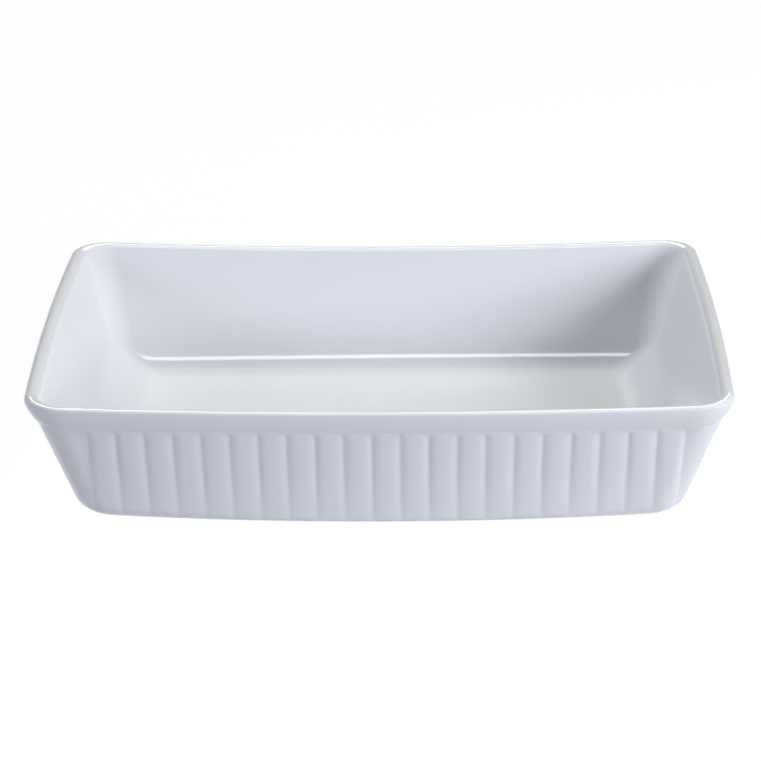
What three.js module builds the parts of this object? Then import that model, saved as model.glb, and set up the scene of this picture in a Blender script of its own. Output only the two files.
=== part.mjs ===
// Rectangular baking dish with reeded sides: one fired clay body under three coats of glaze.
// Millimetres, +Z up. The origin is the middle of the footprint, on the surface that the dish stands on.
// +X runs along the dish and +Y across it.
import * as THREE from 'three';

// Rim: outside sizes over everything, and how far its edges leave a plain rectangle
const RIM_LENGTH = 330;
const RIM_WIDTH = 230;
const RIM_CORNER = 22;
const RIM_END_BOW = 2.4;
const RIM_SIDE_BOW = 1.2;
const CORNER_HEIGHT = 69;
const SIDE_DIP = 4.1;
const END_RISE = 1.5;

// Rim band: the smooth strip above the reeds, which overhangs them a little
const BAND_HEIGHT = 9.4;
const BAND_LIP = 1.3;
const BAND_PROUD = 0.2;
const LIP_FILLET = 2.6;
const RIM_OUTER_ROUND = 3.2;
const RIM_INNER_ROUND = 2.6;

// Base: outside sizes where the sloping walls would meet the ground, and the rounded heel
const BASE_LENGTH = 284;
const BASE_WIDTH = 184;
const BASE_CORNER = 14;
const BASE_END_BOW = 2;
const BASE_SIDE_BOW = 3;
const HEEL_RADIUS = 4;
const HEEL_CORNER_GAIN = 7;

// Clay: thickness of the walls and the floor, glaze included
const WALL_THICKNESS = 6.5;
const FLOOR_THICKNESS = 7;
const COVE_RADIUS = 8;
const INSIDE_CORNER_AT_FLOOR = 12;
const INSIDE_CORNER_AT_RIM = 15.5;

// Foot: the bare ring that the dish stands on
const FOOT_HEIGHT = 1.5;
const FOOT_WIDTH = 6;
const FOOT_SETBACK = 1;
const FOOT_DRAFT = 0.6;
const FOOT_CORNER = 14;

// Reeds: upright ribs with a flat crown, side by side round the whole outside
const REED_PITCH = 13.05;
const REED_CROWN = 6.2;
const REED_DEPTH = 0.95;
const REED_FADE = 4;

// Glaze: one thickness all over, and where it stops on the heel and under the base
const GLAZE_THICKNESS = 0.4;
const GLAZE_LINE_ANGLE = THREE.MathUtils.degToRad(-60);
const BASE_GLAZE_MARGIN = 2;

// Facets: straight pieces in half a long side, in a corner and in half an end of a plain ring
const SIDE_STEPS = 3;
const CORNER_STEPS = 5;
const END_STEPS = 2;

// Facets: straight pieces in a rounded edge of the rim, and in the heel and the cove
const ROUND_STEPS = 2;
const COVE_STEPS = 3;

// Levels that follow from the sizes
const FLOOR_TOP = FOOT_HEIGHT + FLOOR_THICKNESS;
const COVE_TOP = FLOOR_TOP + COVE_RADIUS;
const WIDEST_LEVEL = CORNER_HEIGHT - RIM_OUTER_ROUND;
const BAND_FOOT = CORNER_HEIGHT - BAND_HEIGHT;
const LIP_FOOT = BAND_FOOT - LIP_FILLET;
const FOOT_INSET = HEEL_RADIUS + HEEL_CORNER_GAIN + FOOT_SETBACK;
const QUARTER_TURN = Math.PI / 2;
const LEAST_CORNER = 1;

const { lerp, clamp } = THREE.MathUtils;

// One quarter of an outline seen from above, walked from the middle of a long side to the middle of an end.
class QuarterOutline {
  constructor(halfLength, halfWidth, corner) {
    this.halfLength = halfLength;
    this.halfWidth = halfWidth;
    this.corner = corner;
    this.sideRun = halfLength - corner;
    this.endRun = halfWidth - corner;
    this.cornerRun = corner * QUARTER_TURN;
    this.total = this.sideRun + this.cornerRun + this.endRun;
  }

  // Distances from the two middle lines at a walked distance, and the direction out of the dish there.
  at(distance) {
    const turn = clamp((distance - this.sideRun) / this.corner, 0, QUARTER_TURN);
    const alongEnd = Math.max(distance - this.sideRun - this.cornerRun, 0);
    const outward = new THREE.Vector2(Math.sin(turn), Math.cos(turn));
    const place = new THREE.Vector2(Math.min(distance, this.sideRun), this.endRun - alongEnd);
    return { place: place.addScaledVector(outward, this.corner), outward };
  }

  // Walked distance to the point of the long side that lies this far from the middle of that side.
  distanceOnSide(offset) {
    const round = clamp((offset - this.sideRun) / this.corner, 0, 1);
    return Math.min(offset, this.sideRun) + this.corner * Math.asin(round);
  }

  // Walked distance to the point of the end that lies this far from the middle of that end.
  distanceOnEnd(offset) {
    const round = clamp((offset - this.endRun) / this.corner, 0, 1);
    return this.total - Math.min(offset, this.endRun) - this.corner * Math.asin(round);
  }
}

// The walls lean out evenly, so every outside size runs straight from the base to the rim's widest level.
function leaning(atBase, atRim, z) {
  return lerp(atBase, atRim, z / WIDEST_LEVEL);
}

const endBow = (z) => leaning(BASE_END_BOW, RIM_END_BOW, z);
const sideBow = (z) => leaning(BASE_SIDE_BOW, RIM_SIDE_BOW, z);

// The outline of one level, at a distance outside (or, below zero, inside) the crowns of the reeds.
function outline({ z, offset, corner }) {
  const rimHalfLength = RIM_LENGTH / 2 - BAND_PROUD;
  const rimHalfWidth = RIM_WIDTH / 2 - BAND_PROUD;
  const halfLength = leaning(BASE_LENGTH / 2, rimHalfLength, z) - endBow(z) + offset;
  const halfWidth = leaning(BASE_WIDTH / 2, rimHalfWidth, z) - sideBow(z) + offset;
  return new QuarterOutline(halfLength, halfWidth, Math.max(corner, LEAST_CORNER));
}

const outsideCorner = (z, offset) => leaning(BASE_CORNER, RIM_CORNER, z) + offset;
const insideCorner = (z, offset) =>
  leaning(INSIDE_CORNER_AT_FLOOR, INSIDE_CORNER_AT_RIM, z) + offset + WALL_THICKNESS;

// Reeds: as many whole ones, odd in number, as the straight part of a side holds at the base
function reedsOn(straightHalf) {
  return 2 * Math.floor(straightHalf / REED_PITCH - 0.5) + 1;
}
const straightSide = BASE_LENGTH / 2 - BASE_END_BOW - BASE_CORNER;
const straightEnd = BASE_WIDTH / 2 - BASE_SIDE_BOW - BASE_CORNER;
const sideReeds = reedsOn(straightSide);
const endReeds = reedsOn(straightEnd);
const reededSide = sideReeds * REED_PITCH / 2;
const reededEnd = endReeds * REED_PITCH / 2;

// Reeds at each corner: what comes nearest to the same pitch half way up the wall, where they fan out
const halfWayUp = CORNER_HEIGHT / 2;
const middleOutline = outline({ z: halfWayUp, offset: 0, corner: outsideCorner(halfWayUp, 0) });
const cornerRun = middleOutline.distanceOnEnd(reededEnd) - middleOutline.distanceOnSide(reededSide);
const cornerReeds = Math.max(1, Math.round(cornerRun / REED_PITCH));

// Places of a plain ring's points along one quarter.
function plainStations(quarter) {
  const stations = [];
  for (let i = 0; i < SIDE_STEPS; i += 1) {
    stations.push({ distance: quarter.sideRun * i / SIDE_STEPS, cut: 0 });
  }
  for (let i = 0; i < CORNER_STEPS; i += 1) {
    stations.push({ distance: quarter.sideRun + quarter.cornerRun * i / CORNER_STEPS, cut: 0 });
  }
  for (let i = END_STEPS; i >= 0; i -= 1) {
    stations.push({ distance: quarter.total - quarter.endRun * i / END_STEPS, cut: 0 });
  }
  return stations;
}

// Places of a reeded ring's points along one quarter: the two edges of each crown and the groove after it.
function reededStations(quarter) {
  const stations = [];
  const crown = (distance) => stations.push({ distance, cut: 0 });
  const groove = (distance) => stations.push({ distance, cut: REED_DEPTH });
  const halfCrown = REED_CROWN / 2;

  crown(quarter.distanceOnSide(halfCrown));
  for (let i = 1; i <= (sideReeds - 1) / 2; i += 1) {
    groove(quarter.distanceOnSide((i - 0.5) * REED_PITCH));
    crown(quarter.distanceOnSide(i * REED_PITCH - halfCrown));
    crown(quarter.distanceOnSide(i * REED_PITCH + halfCrown));
  }

  const first = quarter.distanceOnSide(reededSide);
  const last = quarter.distanceOnEnd(reededEnd);
  const width = (last - first) / cornerReeds;
  const cornerCrown = width * REED_CROWN / REED_PITCH;
  for (let i = 0; i < cornerReeds; i += 1) {
    const middle = first + (i + 0.5) * width;
    groove(first + i * width);
    crown(middle - cornerCrown / 2);
    crown(middle + cornerCrown / 2);
  }

  for (let i = (endReeds - 1) / 2; i >= 1; i -= 1) {
    groove(quarter.distanceOnEnd((i + 0.5) * REED_PITCH));
    crown(quarter.distanceOnEnd(i * REED_PITCH + halfCrown));
    crown(quarter.distanceOnEnd(i * REED_PITCH - halfCrown));
  }
  groove(quarter.distanceOnEnd(REED_PITCH / 2));
  crown(quarter.distanceOnEnd(halfCrown));
  return stations;
}

// The same places with the grooves faded out.
const fadedStations = (quarter) => reededStations(quarter).map(({ distance }) => ({ distance, cut: 0 }));

// How near a place is to a corner: 0 at the middle of a side or an end, nearly 1 on the corner.
function cornerShare(quarter, distance) {
  const { place } = quarter.at(distance);
  return (place.x / quarter.halfLength) ** 2 * (place.y / quarter.halfWidth) ** 2;
}

// A point of the dish: the sides and ends bow outwards, the rim dips along the sides and lifts at the ends.
function bowedPoint(quarter, { distance, cut }, z) {
  const { place, outward } = quarter.at(distance);
  place.addScaledVector(outward, -cut);
  const along = place.x / quarter.halfLength;
  const across = place.y / quarter.halfWidth;
  const offSide = 1 - across ** 2;
  const offEnd = 1 - along ** 2;
  const upTheWall = Math.max(0, (z - COVE_TOP) / (CORNER_HEIGHT - COVE_TOP));
  return new THREE.Vector3(
    place.x + endBow(z) * offSide * along,
    place.y + sideBow(z) * offEnd * across,
    z + upTheWall * (END_RISE * offSide - SIDE_DIP * offEnd),
  );
}

// The four quarters in order round the dish: which way x and y point, and whether the walk runs backwards
const QUARTERS = [
  { x: 1, y: -1, backwards: false },
  { x: 1, y: 1, backwards: true },
  { x: -1, y: 1, backwards: false },
  { x: -1, y: -1, backwards: true },
];

// A closed ring of points, anticlockwise from above. A level gives z, offset and corner for a corner share.
// Each point has a key, its place in the walk round the dish, so that rings of unlike count can be joined.
function ring(level, stationsOf = plainStations) {
  const nominal = outline(level(0));
  const quarterPoints = stationsOf(nominal).map((station, index) => {
    const ownLevel = level(cornerShare(nominal, station.distance));
    const own = outline(ownLevel);
    const ownStation = stationsOf(own)[index];
    const share = ownStation.distance / own.total;
    return { share, point: bowedPoint(own, ownStation, ownLevel.z) };
  });

  const points = [];
  const keys = [];
  QUARTERS.forEach((side, index) => {
    const walk = side.backwards ? [...quarterPoints].reverse() : quarterPoints;
    for (const { share, point } of walk) {
      const walked = side.backwards ? 1 - share : share;
      if (walked < 1) {
        points.push(new THREE.Vector3(side.x * point.x, side.y * point.y, point.z));
        keys.push(index + walked);
      }
    }
  });
  return { points, keys };
}

// Levels of the section, each at a depth under the glazed surface
const outsideLevel = (z, offset) => ({ z, offset, corner: outsideCorner(z, offset) });
const insideLevel = (z, offset) => ({ z, offset, corner: insideCorner(z, offset) });
const footLevel = (z, offset) => ({ z, offset, corner: FOOT_CORNER });

// The heel turns from the foot's level up into the wall, with a larger radius towards the corners.
const heelRadius = (share) => HEEL_RADIUS + HEEL_CORNER_GAIN * share;
const heelLevel = (angle, depth) => (share) => {
  const radius = heelRadius(share);
  const reach = radius - depth;
  const z = FOOT_HEIGHT + radius + reach * Math.sin(angle);
  return outsideLevel(z, reach * Math.cos(angle) - radius);
};
const reedFootLevel = (depth) => (share) =>
  outsideLevel(FOOT_HEIGHT + heelRadius(share) + REED_FADE, -depth);

// Equal steps of an angle, both ends included.
function angles(from, to, steps) {
  return Array.from({ length: steps + 1 }, (_, i) => lerp(from, to, i / steps));
}

// Outside rings from the glaze line up to the rim's crest.
function outsideRings(depth) {
  const lipMiddle = (LIP_FOOT + BAND_FOOT) / 2;
  const roundCentre = BAND_PROUD - RIM_OUTER_ROUND;
  const roundReach = RIM_OUTER_ROUND - depth;
  const heelAngles = angles(GLAZE_LINE_ANGLE, 0, COVE_STEPS).slice(0, -1);
  const rimRound = angles(0, QUARTER_TURN, ROUND_STEPS).map((angle) => ring(() => outsideLevel(
    WIDEST_LEVEL + roundReach * Math.sin(angle),
    roundCentre + roundReach * Math.cos(angle),
  )));
  return [
    ...heelAngles.map((angle) => ring(heelLevel(angle, depth))),
    ring(heelLevel(0, depth), fadedStations),
    ring(reedFootLevel(depth), reededStations),
    ring(() => outsideLevel(LIP_FOOT - REED_FADE, -depth), reededStations),
    ring(() => outsideLevel(LIP_FOOT, -depth), fadedStations),
    ring(() => outsideLevel(lipMiddle, BAND_LIP / 2 - depth)),
    ring(() => outsideLevel(BAND_FOOT, BAND_LIP - depth)),
    ...rimRound,
  ];
}

// The ring where the outside coat and the lining meet, on the middle of the crest.
function crestRing(depth) {
  const crestMiddle = (BAND_PROUD - RIM_OUTER_ROUND - WALL_THICKNESS + RIM_INNER_ROUND) / 2;
  return ring(() => outsideLevel(CORNER_HEIGHT - depth, crestMiddle));
}

// Inside rings from the rim's crest down to the edge of the flat floor.
function insideRings(depth) {
  const roundCentre = RIM_INNER_ROUND - WALL_THICKNESS;
  const roundReach = RIM_INNER_ROUND - depth;
  const coveCentre = -WALL_THICKNESS - COVE_RADIUS;
  const coveReach = COVE_RADIUS + depth;
  const rimRound = angles(QUARTER_TURN, 0, ROUND_STEPS).map((angle) => ring(() => insideLevel(
    CORNER_HEIGHT - RIM_INNER_ROUND + roundReach * Math.sin(angle),
    roundCentre - roundReach * Math.cos(angle),
  )));
  const cove = angles(0, -QUARTER_TURN, COVE_STEPS).map((angle) => ring(() => insideLevel(
    COVE_TOP + coveReach * Math.sin(angle),
    coveCentre + coveReach * Math.cos(angle),
  )));
  return [...rimRound, ...cove];
}

// Rings of the bare clay under the dish, from the inner edge of the foot ring out to the heel.
function footRings() {
  const underside = FOOT_HEIGHT + GLAZE_THICKNESS;
  const inner = -FOOT_INSET - FOOT_WIDTH;
  return [
    ring(() => footLevel(underside, inner - FOOT_DRAFT)),
    ring(() => footLevel(0, inner)),
    ring(() => footLevel(0, -FOOT_INSET)),
    ring(() => footLevel(underside, FOOT_DRAFT - FOOT_INSET)),
    ring(heelLevel(-QUARTER_TURN, GLAZE_THICKNESS)),
  ];
}

// A closed surface put together from strips between rings and flat caps.
class Surface {
  constructor() {
    this.positions = [];
    this.triangles = [];
    this.starts = new Map();
  }

  start(loop) {
    if (!this.starts.has(loop)) {
      this.starts.set(loop, this.positions.length / 3);
      loop.points.forEach((point) => this.positions.push(...point.toArray()));
    }
    return this.starts.get(loop);
  }

  triangle(a, b, c, turned) {
    this.triangles.push(...(turned ? [a, c, b] : [a, b, c]));
  }

  // A strip between two rings. Turned, the same triangles face the other way.
  strip(from, to, turned = false) {
    const fromCount = from.points.length;
    const toCount = to.points.length;
    const fromIndex = (i) => this.start(from) + i % fromCount;
    const toIndex = (i) => this.start(to) + i % toCount;
    const key = (loop, i) => loop.keys[i % loop.keys.length] + QUARTERS.length * Math.floor(i / loop.keys.length);
    let i = 0;
    let j = 0;
    while (i < fromCount || j < toCount) {
      const level = fromCount === toCount;
      const next = level ? i <= j : key(from, i + 1) < key(to, j + 1);
      if (j === toCount || (i < fromCount && next)) {
        this.triangle(fromIndex(i), fromIndex(i + 1), toIndex(j), turned);
        i += 1;
      } else {
        this.triangle(fromIndex(i), toIndex(j + 1), toIndex(j), turned);
        j += 1;
      }
    }
  }

  strips(rings, turned = false) {
    for (let i = 1; i < rings.length; i += 1) {
      this.strip(rings[i - 1], rings[i], turned);
    }
  }

  // A flat cap from a ring to the dish's middle, facing up, or down if turned.
  cap(loop, turned = false) {
    const first = this.start(loop);
    const middle = this.positions.length / 3;
    const count = loop.points.length;
    this.positions.push(0, 0, loop.points[0].z);
    for (let i = 0; i < count; i += 1) {
      this.triangle(first + i, first + (i + 1) % count, middle, turned);
    }
  }

  geometry() {
    const geometry = new THREE.BufferGeometry();
    geometry.setAttribute('position', new THREE.Float32BufferAttribute(this.positions, 3));
    geometry.setIndex(this.triangles);
    geometry.computeVertexNormals();
    return geometry;
  }
}

// Rings shared by the clay and the glaze on it, and the rings of the glazed surface
const clayOutside = outsideRings(GLAZE_THICKNESS);
const clayCrest = crestRing(GLAZE_THICKNESS);
const clayInside = insideRings(GLAZE_THICKNESS);
const glazedOutside = outsideRings(0);
const glazedCrest = crestRing(0);
const glazedInside = insideRings(0);

// The clay vessel: under the foot, up the outside, over the rim and down to the floor.
function stonewareBody() {
  const surface = new Surface();
  const rings = [...footRings(), ...clayOutside, clayCrest, ...clayInside];
  surface.cap(rings[0], true);
  surface.strips(rings);
  surface.cap(rings.at(-1));
  return surface.geometry();
}

// The outside coat: glazed face out, the clay's own face as its back, closed at the heel and on the crest.
function outerGlaze() {
  const surface = new Surface();
  surface.strips([...glazedOutside, glazedCrest]);
  surface.strips([...clayOutside, clayCrest], true);
  surface.strip(clayOutside[0], glazedOutside[0]);
  surface.strip(glazedCrest, clayCrest);
  return surface.geometry();
}

// The lining: it meets the outside coat on the crest.
function linerGlaze() {
  const surface = new Surface();
  surface.strips([glazedCrest, ...glazedInside]);
  surface.strips([clayCrest, ...clayInside], true);
  surface.strip(glazedCrest, clayCrest, true);
  surface.cap(glazedInside.at(-1));
  surface.cap(clayInside.at(-1), true);
  return surface.geometry();
}

// The glazed panel under the floor, clear of the bare foot ring.
function baseGlaze() {
  const edge = -FOOT_INSET - FOOT_WIDTH - FOOT_DRAFT - BASE_GLAZE_MARGIN;
  const lower = ring(() => footLevel(FOOT_HEIGHT, edge));
  const upper = ring(() => footLevel(FOOT_HEIGHT + GLAZE_THICKNESS, edge));
  const surface = new Surface();
  surface.cap(lower, true);
  surface.strip(lower, upper);
  surface.cap(upper);
  return surface.geometry();
}

const bareClay = new THREE.MeshStandardMaterial({ color: '#d9d0c1', roughness: 0.85, metalness: 0 });
const whiteGlaze = new THREE.MeshStandardMaterial({ color: '#eceef4', roughness: 0.12, metalness: 0 });

const dish = new THREE.Group();
function addPiece(name, geometry, material) {
  const piece = new THREE.Mesh(geometry, material);
  piece.name = name;
  dish.add(piece);
}
addPiece('stoneware_body', stonewareBody(), bareClay);
addPiece('liner_glaze', linerGlaze(), whiteGlaze);
addPiece('outer_glaze', outerGlaze(), whiteGlaze);
addPiece('base_glaze', baseGlaze(), whiteGlaze);

export default dish;
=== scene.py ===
"""White glazed stoneware baking dish with reeded sides, modelled over its CAD frame.

The file is laid out as an add-on: sizes and finishes are properties, each piece has an operator, and
a panel in the sidebar lists them. Lengths are metres. X runs along the dish, Y across it and Z up, from
the middle of the footprint on the table.
"""
import math

import bmesh
import bpy
from bpy.props import FloatProperty, FloatVectorProperty, PointerProperty
from mathutils import Matrix, Quaternion, Vector


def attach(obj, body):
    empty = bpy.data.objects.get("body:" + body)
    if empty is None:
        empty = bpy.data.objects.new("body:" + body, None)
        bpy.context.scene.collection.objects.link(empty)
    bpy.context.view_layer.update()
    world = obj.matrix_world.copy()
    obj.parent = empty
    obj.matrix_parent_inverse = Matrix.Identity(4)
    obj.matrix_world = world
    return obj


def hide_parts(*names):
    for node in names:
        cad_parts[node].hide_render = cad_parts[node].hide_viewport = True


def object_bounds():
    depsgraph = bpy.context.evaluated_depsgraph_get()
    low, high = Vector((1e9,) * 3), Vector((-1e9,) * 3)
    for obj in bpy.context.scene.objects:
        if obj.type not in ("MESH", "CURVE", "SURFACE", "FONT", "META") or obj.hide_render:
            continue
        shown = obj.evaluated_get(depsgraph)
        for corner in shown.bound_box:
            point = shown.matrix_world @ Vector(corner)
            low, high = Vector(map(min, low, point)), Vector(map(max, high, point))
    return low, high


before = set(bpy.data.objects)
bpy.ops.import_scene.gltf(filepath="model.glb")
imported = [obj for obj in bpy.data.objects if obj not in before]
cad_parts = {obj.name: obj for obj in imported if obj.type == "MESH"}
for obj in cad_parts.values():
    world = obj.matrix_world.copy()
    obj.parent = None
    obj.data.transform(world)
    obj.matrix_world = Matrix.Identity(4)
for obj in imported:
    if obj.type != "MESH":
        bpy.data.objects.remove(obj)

bl_info = {
    "name": "Reeded Baking Dish",
    "version": (1, 0, 0),
    "blender": (4, 5, 0),
    "location": "View3D > Sidebar > Dish",
    "description": "Models a glazed stoneware baking dish with reeded sides and its studio",
    "category": "Object",
}

# The CAD box, taken before any piece is made
CAD_BOX = [list(corner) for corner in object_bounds()]
CAD_SIZE = [high - low for low, high in zip(*CAD_BOX)]

QUARTER_TURN = math.pi / 2

# How finely the surfaces are divided
COLUMNS_PER_REED = 12
CLAY_COLUMNS_PER_REED = 6
PLAIN_SIDE_COLUMNS = 18
PLAIN_CORNER_COLUMNS = 16
PLAIN_END_COLUMNS = 12
EDGE_STEPS = 8
HEEL_STEPS = 8
LIP_STEPS = 7
BAND_STEPS = 5
INNER_WALL_STEPS = 10
COVE_STEPS = 20
FOOT_EDGE_STEPS = 3
SMOOTH_ANGLE = math.radians(60)

# How many times a reed's columns the plain stretch round a corner has
CORNER_COLUMNS = 3

# Rings of the reeded wall, as shares of the way from the heel to the hollow under the band
WALL_RINGS = (0.04, 0.1, 0.2, 0.32, 0.45, 0.58, 0.72, 0.84, 0.92, 0.945, 0.96, 0.975, 0.99)

# Rings of the flat floor, by their distance in from the cove
FLOOR_INSETS = (0.0012, 0.0032)

# How far the rim lifts at the ends, and how far below the top of the corners the rim's sizes are reached
END_RISE = 0.0015
WIDEST_DEPTH = 0.0032

# The smallest corner radius of an outline, and the height of the band's rounded lower edge
LEAST_CORNER = 0.001
LIP_ROUND = 0.0007

# How far inside the foot ring the underside's first ring lies
UNDERSIDE_EASE = 0.0006

# How far in from its edge the base glaze reaches its full thickness
BASE_GLAZE_EDGE = 0.0012

# How full the reeds' crowns are, where 1 makes an even wave
REED_FULLNESS = 2.5

# The turn of the heel over which the glaze's lower edge swells, and over which the grooves run out
GLAZE_ROLL_TURN = math.radians(30)
HEEL_REED_TURN = math.radians(50)

# How far the glaze pools in the grooves, under the band and in the cove; under the band the darker pooled
# tint is also painted shade
POOL_IN_GROOVE = 0.9
POOL_AND_PAINTED_SHADE_UNDER_BAND = 0.8
POOL_IN_COVE = 0.7

# How deep the clay's skin lies, in thicknesses of the glaze over it
CLAY_UNDER_GLAZE = 1.2


def length(name, description, default):
    """A length that the user can set."""
    return FloatProperty(name=name, description=description, default=default, min=0.0,
                         precision=5, subtype='DISTANCE', unit='LENGTH')


def share(name, description, default):
    """A plain number from 0 to 1 that the user can set."""
    return FloatProperty(name=name, description=description, default=default, min=0.0, max=1.0,
                         subtype='FACTOR')


def brightness(name, description, default):
    """A light's brightness that the user can set, where 1 is white."""
    return FloatProperty(name=name, description=description, default=default, min=0.0)


def angle(name, description, degrees):
    """An angle that the user can set."""
    return FloatProperty(name=name, description=description, default=math.radians(degrees),
                         subtype='ANGLE', unit='ROTATION')


def colour(name, description, default):
    """A colour that the user can set, in linear light."""
    return FloatVectorProperty(name=name, description=description, default=default, size=3,
                               min=0.0, max=1.0, subtype='COLOR')


class DishSizes(bpy.types.PropertyGroup):
    """Sizes of the dish."""

    rim_length: length("Rim length", "Outside length over the rim band", CAD_SIZE[0])
    rim_width: length("Rim width", "Outside width over the rim band", CAD_SIZE[1])
    end_rise: length("End rise", "How far the rim lifts in the middle of the ends", END_RISE)
    front_dip: length("Front dip", "How far the rim dips in the middle of the front", 0.0025)
    back_dip: length("Back dip", "How far the rim dips in the middle of the back", 0.0041)
    corner_height: length("Corner height", "Height of the rim at the corners", CAD_SIZE[2] - END_RISE)
    rim_corner: length("Rim corner", "Corner radius of the outside at the rim", 0.019)
    rim_end_bow: length("Rim end bow", "Bow of the ends at the rim", 0.0024)
    rim_side_bow: length("Rim side bow", "Bow of the long sides at the rim", 0.0012)

    band_height: length("Band height", "Height of the smooth band under the rim", 0.0111)
    band_proud: length("Band proud", "How far the band's top stands out from the wall's slope", 0.0002)
    band_top_lean: angle("Band top lean", "How far the band faces down at its top", 12)
    band_foot_lean: angle("Band foot lean", "How far the band faces down at its lower edge", 30)
    wall_recess: length("Wall recess", "How far the reeded wall sits back under the band", 0.0012)
    lip_fillet: length("Lip fillet", "Height of the hollow under the band", 0.001)
    rim_outer_round: length("Outer rim round", "Radius of the rim's outer edge on the long sides", 0.0014)
    rim_inner_round: length("Inner rim round", "Radius of the rim's inner edge on the long sides", 0.0016)
    rim_thickness: length("Rim thickness", "Thickness of the rim on the long sides", 0.0049)
    end_outer_round: length("End outer round", "Radius of the rim's outer edge on the ends", 0.003)
    end_inner_round: length("End inner round", "Radius of the rim's inner edge on the ends", 0.003)
    end_rim_thickness: length("End rim thickness", "Thickness of the rim on the ends", 0.0074)

    base_length: length("Base length", "Length of the wall at the table", 0.284)
    base_width: length("Base width", "Width of the wall at the table", 0.184)
    base_corner: length("Base corner", "Corner radius of the outside at the table", 0.014)
    base_end_bow: length("Base end bow", "Bow of the ends at the table", 0.002)
    base_side_bow: length("Base side bow", "Bow of the long sides at the table", 0.003)
    heel_radius: length("Heel radius", "Round from the wall to the underside", 0.0022)
    heel_corner_gain: length("Heel corner gain", "How much larger that round is at the corners", 0.0088)

    wall_thickness: length("Wall thickness", "Thickness of the wall behind the reeds", 0.0065)
    floor_thickness: length("Floor thickness", "Thickness of the floor", 0.007)
    cove_radius: length("Cove radius", "Round from the floor to the long inner walls", 0.008)
    end_cove_radius: length("End cove radius", "Round from the floor to the inner end walls", 0.018)
    inside_corner_floor: length("Inside corner at floor", "Inner corner radius at the floor", 0.012)
    inside_corner_rim: length("Inside corner at rim", "Inner corner radius at the rim", 0.0125)

    foot_height: length("Foot height", "Height of the bare foot ring", 0.0015)
    foot_width: length("Foot width", "Width of the foot ring's flat", 0.006)
    foot_setback: length("Foot setback", "How far the foot ring sits inside the heel", 0.001)
    foot_draft: length("Foot draft", "How far the foot ring's sides spread upwards", 0.0006)
    foot_corner: length("Foot corner", "Corner radius of the foot ring", 0.014)
    foot_edge: length("Foot edge", "Round of the foot ring's edges", 0.0004)

    reed_pitch: length("Reed pitch", "Distance from groove to groove", 0.01305)
    reed_shift: length("Reed shift", "How far round the reeds start from the middle of a side", 0.0034)
    reed_depth: length("Reed depth", "Depth of the grooves between the reeds", 0.00125)
    reed_head: length("Reed head", "Length over which the grooves run out under the band", 0.0032)
    reed_ease: length("Reed ease", "Height below which the grooves grow shallower", 0.034)
    reed_base_share: share("Reed base share", "Depth of the grooves at the heel", 0.5)

    glaze_thickness: length("Glaze thickness", "Thickness of the fired glaze", 0.0004)
    glaze_roll: length("Glaze roll", "How far the glaze swells at its lower edge", 0.00012)
    glaze_line: angle("Glaze line", "How far round the heel the glaze reaches", 60)
    base_glaze_margin: length("Base glaze margin", "Bare clay between foot ring and base glaze", 0.002)


class DishFinish(bpy.types.PropertyGroup):
    """Colours and gloss of the dish."""

    glaze_white: colour("Glaze", "Colour of the white glaze", (0.80, 0.815, 0.85))
    glaze_pooled: colour("Pooled glaze", "Colour where the glaze lies thick", (0.74, 0.775, 0.83))
    glaze_thin: colour("Thin glaze", "Colour where the glaze thins over an edge", (0.83, 0.825, 0.82))
    glaze_roughness: share("Glaze roughness", "Roughness of the glaze", 0.07)
    clay: colour("Clay", "Colour of the bare fired clay", (0.69, 0.62, 0.52))
    clay_dark: colour("Dark clay", "Colour of the clay's grit and flashing", (0.50, 0.41, 0.31))
    clay_roughness: share("Clay roughness", "Roughness of the bare clay", 0.88)


class StudioSetup(bpy.types.PropertyGroup):
    """Light and camera of the studio."""

    key: brightness("Key", "Brightness of the low softbox at the front right", 24.5)
    key_colour: colour("Key colour", "Colour of the low softbox at the front right", (0.918, 0.946, 1.0))
    side: brightness("Side", "Brightness of the softbox at the right", 9.6)
    side_colour: colour("Side colour", "Colour of the softbox at the right", (0.971, 0.953, 1.0))
    left: brightness("Left", "Brightness of the low softbox at the front left", 9.35)
    left_colour: colour("Left colour", "Colour of the low softbox at the front left", (0.756, 0.8, 1.0))
    end: brightness("End", "Brightness of the low softbox beyond the left end", 5.2)
    end_colour: colour("End colour", "Colour of the low softbox beyond the left end", (1.0, 0.995, 0.95))
    rear: brightness("Rear", "Brightness of the low softbox behind the dish", 12.0)
    top: brightness("Top", "Brightness of the softbox overhead", 7.4)
    top_colour: colour("Top colour", "Colour of the softbox overhead", (0.99, 1.0, 0.931))
    front: brightness("Front strip", "Brightness of the strip above, which shows in the gloss", 7.0)
    back: brightness("Back strip", "Brightness of the strip behind, which shows in the gloss", 7.0)
    floor_colour: colour("Floor", "Colour of the floor", (0.7, 0.7, 0.7))
    camera_yaw: angle("Camera yaw", "How far the camera stands to the right", 0.948)
    camera_pitch: angle("Camera pitch", "How far the camera looks down", 22.39)
    camera_roll: angle("Camera roll", "How far the camera leans", -0.544)
    camera_distance: length("Camera distance", "Distance from the camera to its target", 1.399523)
    camera_lens: FloatProperty(name="Lens", description="Focal length on a 36 mm sensor",
                               default=133.914, min=1.0, subtype='DISTANCE_CAMERA')


def mix(first, second, factor):
    """A number between two others."""
    return first + (second - first) * factor


def ease(low, high, value):
    """0 below low, 1 above high, and a smooth rise between them."""
    rise = min(max((value - low) / (high - low), 0.0), 1.0)
    return rise * rise * (3 - 2 * rise)


def steps(first, last, count):
    """Equal steps from first to last, both included."""
    return [mix(first, last, i / count) for i in range(count + 1)]


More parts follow.
